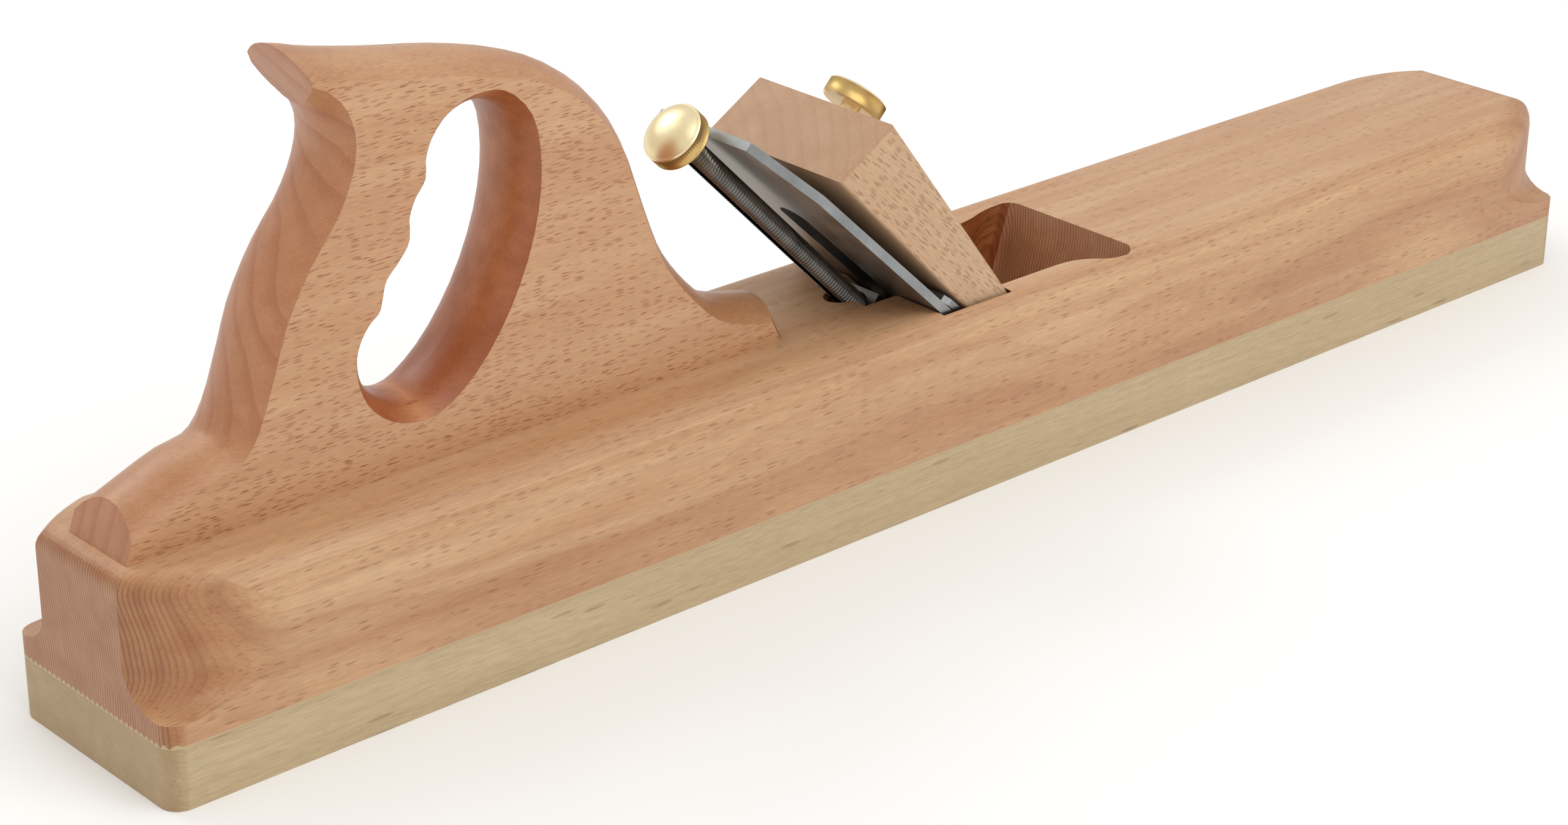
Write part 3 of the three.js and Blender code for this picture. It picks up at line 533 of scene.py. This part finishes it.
def in_throat(face):
    """1 for a wall of the throat, 0 for the outside of the stock and the throat's planed front."""
    corners = [vertex.co for vertex in face.verts]
    inside = all(abs(corner.y) < THROAT_HALF and THROAT_FROM < corner.x < THROAT_TO for corner in corners)
    walls = any(corner.z < body_top - 1 * MM for corner in corners)
    planed_front = face.normal.x < -0.7
    return 1 if inside and walls and not planed_front else 0


# The throat's walls take the second, darker material, which paints the shade inside the throat.
soften("body", [oiled_beech, chiselled_beech_oil_and_shade], width=0.5, sort_faces=in_throat, segments=3)
soften("sole", [hornbeam], width=0.4)

# %% Handle, dowels and clamp block
HOLE_CENTRE = Vector((-0.186, 0, 0.120))        # m, the middle of the finger hole
HOLE_REACH = Vector((0.045, 0.02, 0.05))        # m, how far its wall may lie from there
HORN = Vector((-0.2215, 0, 0.1665))             # m, the horn is what lies behind and above this
HORN_ROUND = 2.8                                # mm
HORN_ARRIS = 28                                 # degrees


def in_hole(face):
    """1 for the wall of the finger hole, which faces its centre, 0 for the rest of the handle."""
    inwards = HOLE_CENTRE - face.calc_center_median()
    near = all(abs(inwards[axis]) < HOLE_REACH[axis] for axis in range(3))
    return 1 if near and abs(face.normal.y) < 0.9 and inwards.dot(face.normal) > 0 else 0


def round_horn(mesh):
    """Rounds the arrises of the horn's end, as a spokeshave leaves them."""
    arrises = []
    for edge in mesh.edges:
        on_horn = all(end.co.x < HORN.x and end.co.z > HORN.z for end in edge.verts)
        sharp = len(edge.link_faces) == 2 and edge.calc_face_angle(0) > math.radians(HORN_ARRIS)
        if on_horn and sharp:
            arrises.append(edge)
    bmesh.ops.bevel(mesh, geom=arrises, affect="EDGES", offset=HORN_ROUND * MM, segments=5,
                    profile=0.5, material=-1, clamp_overlap=True)
    print("rounded", len(arrises), "edges of the horn")


# The finger hole's wall takes the second, darker material, which paints the shade inside the hole.
soften("handle", [handle_beech, hole_shade_beech], width=0.4, sort_faces=in_hole, shape=round_horn)
for node in ("handle_dowel_front", "handle_dowel_rear"):
    soften(node, [block_beech], width=0.5)
soften("clamp_block", [block_beech], width=1.2, segments=3)

# %% Irons
def on_edge(face):
    """1 for a narrow ground edge of an iron, 0 for its broad faces."""
    through = Vector(joints["clamp_travel"]["axis"])
    return 1 if abs(face.normal.dot(through)) < 0.5 else 0


soften("cutting_iron", [ground_steel, edge_steel], width=0.25, sort_faces=on_edge)
soften("cap_iron", [ground_steel, edge_steel], width=0.2, sort_faces=on_edge)

# %% Small steel and brass pieces
for node in ("cap_iron_screw", "drive_block", "swivel_nut", "pressure_foot", "spindle_clip", "swivel_plate",
             "swivel_plate_screw_low", "swivel_plate_screw_high"):
    soften(node, [turned_steel], width=0.15)
for node in ("cap_iron_boss", "thrust_washer"):
    soften(node, [depth_brass], width=0.15)
soften("threaded_bush", [clamp_brass], width=0.2)

# %% [markdown]
# ## The depth screw
# The screw that moves the iron is an 8 mm rod with a rolled thread of 1.25 mm pitch and a flat
# filed along it. A ridged texture would fail at the silhouette, where a thread shows best. So one
# tooth of the thread is drawn and swept round the axis while it climbs one pitch a turn; each turn
# meets the last, and planes then cut the ends and the flat, each cut closed with a face. The plain
# journal below the thread is turned as a separate shell in the same piece.

# %% Turning and measuring helpers
def turned_shell(mesh, profile, steps):
    """Turns a profile of (radius, height) points in mm into a closed shell round Z."""
    points = [mesh.verts.new((radius * MM, 0, height * MM)) for radius, height in profile]
    edges = [mesh.edges.new(pair) for pair in zip(points, points[1:])]
    bmesh.ops.spin(mesh, geom=points + edges, cent=(0, 0, 0), axis=(0, 0, 1), angle=2 * math.pi,
                   steps=steps, use_merge=True)
    bmesh.ops.remove_doubles(mesh, verts=mesh.verts, dist=0.002 * MM)
    bmesh.ops.recalc_face_normals(mesh, faces=mesh.faces)


def span(node, place):
    """A node's lowest and highest point along an axis, and its radius, in mm."""
    local = [place.inverted() @ vertex.co for vertex in frame["nodes"][node].data.vertices]
    heights = [point.z / MM for point in local]
    return min(heights), max(heights), max(point.xy.length for point in local) / MM


spindle_low, spindle_high, thread_radius = span("spindle", depth_axis)
knob_low, knob_high, knob_radius = span("depth_knob", depth_axis)
print("spindle from", round(spindle_low, 2), "to", round(spindle_high, 2), "mm")
print("its radius is", round(thread_radius, 2), "mm, the knob's", round(knob_radius, 2), "mm")

# %% A thread
PITCH = 1.25                                    # mm, as on every M8 screw
THREAD_DEPTH = 0.65                             # mm
CREST = (0.56, 0.69)                            # mm along the axis, where the tooth is highest
ROOT_END = 0.12                                 # mm, the root's half width
STEPS_A_TURN = 24
FLAT = 3.0                                      # mm from the axis


def thread_shell(mesh, low, high):
    """A threaded rod between two heights, cut to a flat and closed at every cut."""
    root = thread_radius - THREAD_DEPTH
    tooth = [(root, 0), (root, ROOT_END), (thread_radius, CREST[0]), (thread_radius, CREST[1]),
             (root, PITCH - ROOT_END), (root, PITCH)]
    turns = math.ceil((high - low) / PITCH) + 2
    points = [mesh.verts.new((radius * MM, 0, (low - PITCH + height) * MM)) for radius, height in tooth]
    edges = [mesh.edges.new(pair) for pair in zip(points, points[1:])]
    bmesh.ops.spin(mesh, geom=points + edges, cent=(0, 0, 0), axis=(0, 0, 1),
                   dvec=(0, 0, PITCH * MM / STEPS_A_TURN), angle=2 * math.pi * turns,
                   steps=STEPS_A_TURN * turns, use_merge=False)
    bmesh.ops.remove_doubles(mesh, verts=mesh.verts, dist=0.005 * MM)
    cuts = [((0, 0, low * MM), (0, 0, -1)),
            ((0, 0, high * MM), (0, 0, 1)),
            ((FLAT * MM, 0, 0), (1, 0, 0))]
    for point, normal in cuts:
        everything = mesh.verts[:] + mesh.edges[:] + mesh.faces[:]
        cut = bmesh.ops.bisect_plane(mesh, geom=everything, plane_co=point, plane_no=normal,
                                     clear_outer=True)
        rim = [item for item in cut["geom_cut"] if isinstance(item, bmesh.types.BMEdge)]
        bmesh.ops.holes_fill(mesh, edges=rim, sides=0)
    bmesh.ops.recalc_face_normals(mesh, faces=mesh.faces)


print("a turn of the thread has", STEPS_A_TURN, "steps")

# %% The threaded spindle
SHOULDER = -7.6                                 # mm from the swivel, where the thread ends
JOURNAL = 2.5                                   # mm, the radius of the plain part below it
GROOVE = 2.0                                    # mm, the radius of the groove for the clip
GROOVE_LOW, GROOVE_HIGH = -26.3, -25.1          # mm
APART = 0.01                                    # mm between the two shells

spindle = bmesh.new()
thread_shell(spindle, SHOULDER, spindle_high)
journal = bmesh.new()
turned_shell(journal, [(0, spindle_low), (JOURNAL - 0.3, spindle_low), (JOURNAL, spindle_low + 0.3),
                       (JOURNAL, GROOVE_LOW), (GROOVE, GROOVE_LOW), (GROOVE, GROOVE_HIGH),
                       (JOURNAL, GROOVE_HIGH), (JOURNAL, SHOULDER - APART), (0, SHOULDER - APART)], 32)
joined = bpy.data.meshes.new("journal")
journal.to_mesh(joined)
journal.free()
spindle.from_mesh(joined)
spindle.transform(depth_axis)
print("spindle faces:", len(spindle.faces))
settle(spindle, "threaded_spindle", "depth_screw", ["spindle"], [thread_steel], crease=25)

# %% [markdown]
# ## The two knobs
# Both knobs are turned brass with a straight knurl: shallow V grooves rolled into the rim. The
# profile is spun in twice as many steps as there are grooves, and every second column of the rim
# is pushed in. The chamfers above and below are left whole, so each groove runs out cleanly.

# %% Knob helpers
PLAIN = 0.05                                    # mm of plain rim between a chamfer and the grooves
RUN_OUT = 0.02                                  # mm past a chamfer, where the grooves may begin


def knurled(profile, rim, grooves, depth):
    """A turned knob whose rim, between two heights in mm, carries straight V grooves."""
    mesh = bmesh.new()
    turned_shell(mesh, profile, grooves * 2)
    outer = max(radius for radius, _ in profile)
    # The rim's faces take the second material, whose darker brass paints the shade of the knurl's grooves.
    for face in mesh.faces:
        on_rim = rim[0] < face.calc_center_median().z / MM < rim[1] and abs(face.normal.z) < 0.3
        face.material_index = 1 if on_rim else 0
    for vertex in mesh.verts:
        radius = vertex.co.xy.length / MM
        column = round(math.atan2(vertex.co.y, vertex.co.x) / (math.pi / grooves))
        if column % 2 and radius > outer - 0.15 and rim[0] < vertex.co.z / MM < rim[1]:
            vertex.co.xy *= (radius - depth) / radius
    return mesh


def rim_points(radius, low, high, chamfer, lower, upper):
    """A rim with chamfers of one height that go in by lower and upper, all in mm."""
    return [(radius - lower, low), (radius, low + chamfer), (radius, low + chamfer + PLAIN),
            (radius, high - chamfer - PLAIN), (radius, high - chamfer), (radius - upper, high)]


def dome(radius, low, rise, steps):
    """Points of a shallow dome from its edge to its top, in mm."""
    ball = (radius ** 2 + rise ** 2) / (2 * rise)
    start = math.acos(radius / ball) if ball > radius else 0
    angles = [start + (math.pi / 2 - start) * step / steps for step in range(steps + 1)]
    points = [(ball * math.cos(angle), low + rise - ball + ball * math.sin(angle)) for angle in angles]
    return [*points[:-1], (0, low + rise)]


print("knob helpers ready")

# %% Depth knob
RIM = 5.5                                       # mm, the height of its rim
BORE = 4.3                                      # mm, the radius of the hole that the screw fills
ROOM = 0.3                                      # mm between the screw's end and the hole's floor
DEPTH_CHAMFER = 0.45                            # mm
DEPTH_GROOVES = 66

rim_top = knob_low + RIM
depth_profile = [(0, spindle_high + ROOM), (BORE, spindle_high + ROOM), (BORE, knob_low),
                 *rim_points(knob_radius, knob_low, rim_top, DEPTH_CHAMFER, 0.5, 0.35),
                 *dome(knob_radius - 0.6, rim_top + 0.1, knob_high - rim_top - 0.1, 14)]
depth_rim = (knob_low + DEPTH_CHAMFER + RUN_OUT, rim_top - DEPTH_CHAMFER - RUN_OUT)
depth_knob = knurled(depth_profile, depth_rim, DEPTH_GROOVES, 0.35)
depth_knob.transform(depth_axis)
settle(depth_knob, "depth_knob_knurled", "depth_screw", ["depth_knob"],
       [depth_brass, knurled_brass_painted_shade], crease=28)
print("depth knob, radius", round(knob_radius, 2), "mm")

# %% Clamp knob
CROWN = 1.4                                     # mm, the rise of its domed top
HEAD = 5.8                                      # mm, the height of its rim
SHAFT, TIP = 3.0, 2.0                           # mm, radii of the screw and of its tip
TIP_LENGTH = 1.6                                # mm
CLAMP_CHAMFER = 0.6                             # mm
CLAMP_GROOVES = 84

clamp_low, clamp_high, clamp_radius = span("clamp_knob", clamp_axis)
head_low = clamp_high - CROWN - HEAD
head_top = clamp_high - CROWN
clamp_profile = [(0, clamp_low), (TIP, clamp_low), (TIP, clamp_low + TIP_LENGTH),
                 (SHAFT, clamp_low + TIP_LENGTH), (SHAFT, head_low),
                 *rim_points(clamp_radius, head_low, head_top, CLAMP_CHAMFER, 0.6, 0.6),
                 *dome(clamp_radius - 1.2, head_top + 0.1, CROWN - 0.1, 8)]
clamp_rim = (head_low + CLAMP_CHAMFER + RUN_OUT, head_top - CLAMP_CHAMFER - RUN_OUT)
clamp_knob = knurled(clamp_profile, clamp_rim, CLAMP_GROOVES, 0.14)
clamp_knob.transform(clamp_axis)
settle(clamp_knob, "clamp_knob_knurled", "clamp_screw", ["clamp_knob"],
       [clamp_brass, knurled_brass_painted_shade], crease=28)
print("clamp knob, radius", round(clamp_radius, 2), "mm")

# %% [markdown]
# ## Floor and light
# The plane stands on white paper in a white room. A room with only soft sky light leaves wood
# flat, so two large soft boxes shape it: one high over the near side, and a weaker one behind
# that draws a line along the far edges.

# %% Floor and room
FLOOR_HALF = 6                                  # m
ROOM_LIGHT = 0.74

floor = bmesh.new()
bmesh.ops.create_grid(floor, x_segments=1, y_segments=1, size=FLOOR_HALF)
floor_mesh = bpy.data.meshes.new("paper_floor")
floor.to_mesh(floor_mesh)
floor.free()
paper, _, paper_shader = material("white_paper", Roughness=0.9)
paper_shader.inputs["Base Color"].default_value = hex_colour("fbfbf9")
floor_mesh.materials.append(paper)
paper_floor = bpy.data.objects.new("paper_floor", floor_mesh)
bpy.context.scene.collection.objects.link(paper_floor)

world = bpy.data.worlds.new("white_room")
world.use_nodes = True
world.node_tree.nodes["Background"].inputs["Color"].default_value = (1, 1, 1, 1)
world.node_tree.nodes["Background"].inputs["Strength"].default_value = ROOM_LIGHT
bpy.context.scene.world = world
print("floor laid, room light", ROOM_LIGHT)

# %% Soft boxes
def soft_box(name, place, size, power):
    """A square area light that faces the plane."""
    lamp = bpy.data.lights.new(name, "AREA")
    lamp.energy = power
    lamp.size = size
    made = bpy.data.objects.new(name, lamp)
    made.location = place
    made.rotation_euler = (LOOK_AT - Vector(place)).to_track_quat("-Z", "Y").to_euler()
    bpy.context.scene.collection.objects.link(made)
    print("light", name, power, "W")


soft_box("key_light", (0.1, -1.25, 1.8), 2.0, 19)
soft_box("far_light", (-0.3, 1.4, 1.3), 1.0, 7)
